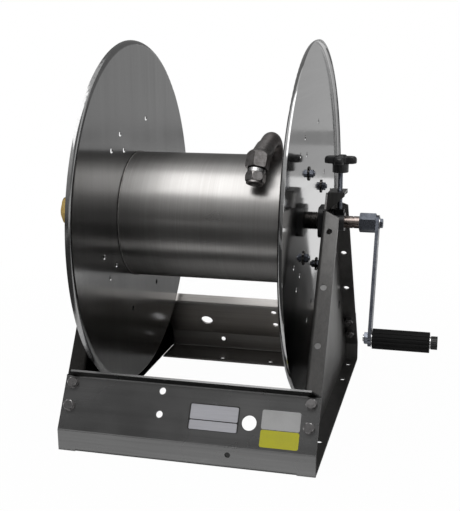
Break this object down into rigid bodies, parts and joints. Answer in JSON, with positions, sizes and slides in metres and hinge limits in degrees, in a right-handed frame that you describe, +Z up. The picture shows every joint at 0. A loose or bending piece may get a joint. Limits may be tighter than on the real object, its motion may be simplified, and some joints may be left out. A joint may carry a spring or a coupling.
{
  "type": "fire hose reel",
  "caption": "Hand-cranked high-pressure hose reel: drum between two rolled-edge discs in a folded sheet-steel base, with inlet swivel, gooseneck outlet, crank and drag brake.",
  "frame": {"origin": "centre of the base bolt rectangle, at the level of the floor", "axes": "+X along the reel axis towards the crank, -Y to the front, where the hose leaves, +Z up"},
  "size_m": [0.6241, 0.5588, 0.5968],
  "materials": {
    "stainless": "satin stainless sheet",
    "polished_stainless": "polished stainless sheet",
    "zinc_steel": "zinc plated",
    "bright_steel": "turned bright",
    "pipe_steel": "cast stainless, warm grey",
    "dark_steel": "dark machined steel",
    "brass": "dull brass",
    "black_plastic": "moulded black",
    "black_rubber": "ribbed rubber",
    "black_enamel": "black enamel, blank",
    "light_plate": "pale satin, blank",
    "yellow_plate": "yellow satin, blank"
  },
  "bodies": {
    "frame": {"left_stand": "stainless", "right_stand": "stainless", "front_cross_member": "stainless", "rear_cross_member": "stainless", "frame_bolts": "zinc_steel", "frame_washers": "bright_steel", "frame_nuts": "zinc_steel", "left_bearing": "black_plastic", "right_bearing": "black_plastic", "bearing_lock_rings": "dark_steel", "nameplate": "black_enamel", "light_label": "light_plate", "yellow_label": "yellow_plate", "brake_weld_nut": "zinc_steel"},
    "reel": {"drum": "stainless", "left_disc": "polished_stainless", "right_disc": "polished_stainless", "left_end_plate": "dark_steel", "right_end_plate": "dark_steel", "disc_bolts": "zinc_steel", "star_washers": "dark_steel", "disc_nuts": "zinc_steel", "inlet_shaft": "bright_steel", "drive_shaft": "bright_steel", "left_spacer": "dark_steel", "right_spacer": "dark_steel", "inlet_snap_ring": "dark_steel", "brake_ring": "black_plastic", "feed_coupling": "dark_steel", "feed_pipe": "pipe_steel", "feed_elbow": "dark_steel", "gooseneck": "pipe_steel", "outlet_body": "pipe_steel", "outlet_seal": "black_rubber", "crank_hub": "zinc_steel", "crank_arm": "zinc_steel", "crank_bolt": "zinc_steel", "crank_washer": "bright_steel", "grip_spindle": "bright_steel", "spindle_nut": "zinc_steel", "grip_washers": "bright_steel", "grip_end_nut": "black_plastic"},
    "inlet_swivel": {"inlet_swivel_body": "brass", "inlet_swivel_seal": "black_rubber"},
    "outlet_swivel": {"outlet_nut": "pipe_steel"},
    "grip": {"grip": "black_rubber"},
    "brake_pad": {"brake_pad": "black_rubber"},
    "brake_screw": {"brake_screw": "zinc_steel", "brake_knob": "black_plastic"}
  },
  "joints": [
    {"name": "reel_spin", "type": "hinge", "parent": "frame", "child": "reel", "pos_m": [0, 0, 0.3175], "axis": [1, 0, 0], "continuous": true},
    {"name": "inlet_swivel_spin", "type": "hinge", "parent": "reel", "child": "inlet_swivel", "pos_m": [-0.25, 0, 0.3175], "axis": [1, 0, 0], "continuous": true},
    {"name": "outlet_swivel_spin", "type": "hinge", "parent": "reel", "child": "outlet_swivel", "pos_m": [0.07493, -0.09107, 0.40363], "axis": [-0.0491, -0.4669, -0.8829], "continuous": true},
    {"name": "grip_spin", "type": "hinge", "parent": "reel", "child": "grip", "pos_m": [0.298, -0.07607, 0.15437], "axis": [1, 0, 0], "continuous": true},
    {"name": "brake_pad_slide", "type": "slide", "parent": "frame", "child": "brake_pad", "axis": [0, 0, 1], "range_m": [0, 0.0025]},
    {"name": "brake_screw_turn", "type": "hinge", "parent": "brake_pad", "child": "brake_screw", "pos_m": [0.1885, 0, 0.37], "axis": [0, 0, 1], "range_deg": [0, 598]}
  ],
  "couplings": [
    {"joint": "brake_pad_slide", "follows": "brake_screw_turn", "m_per_rad": 0.00023873}
  ]
}
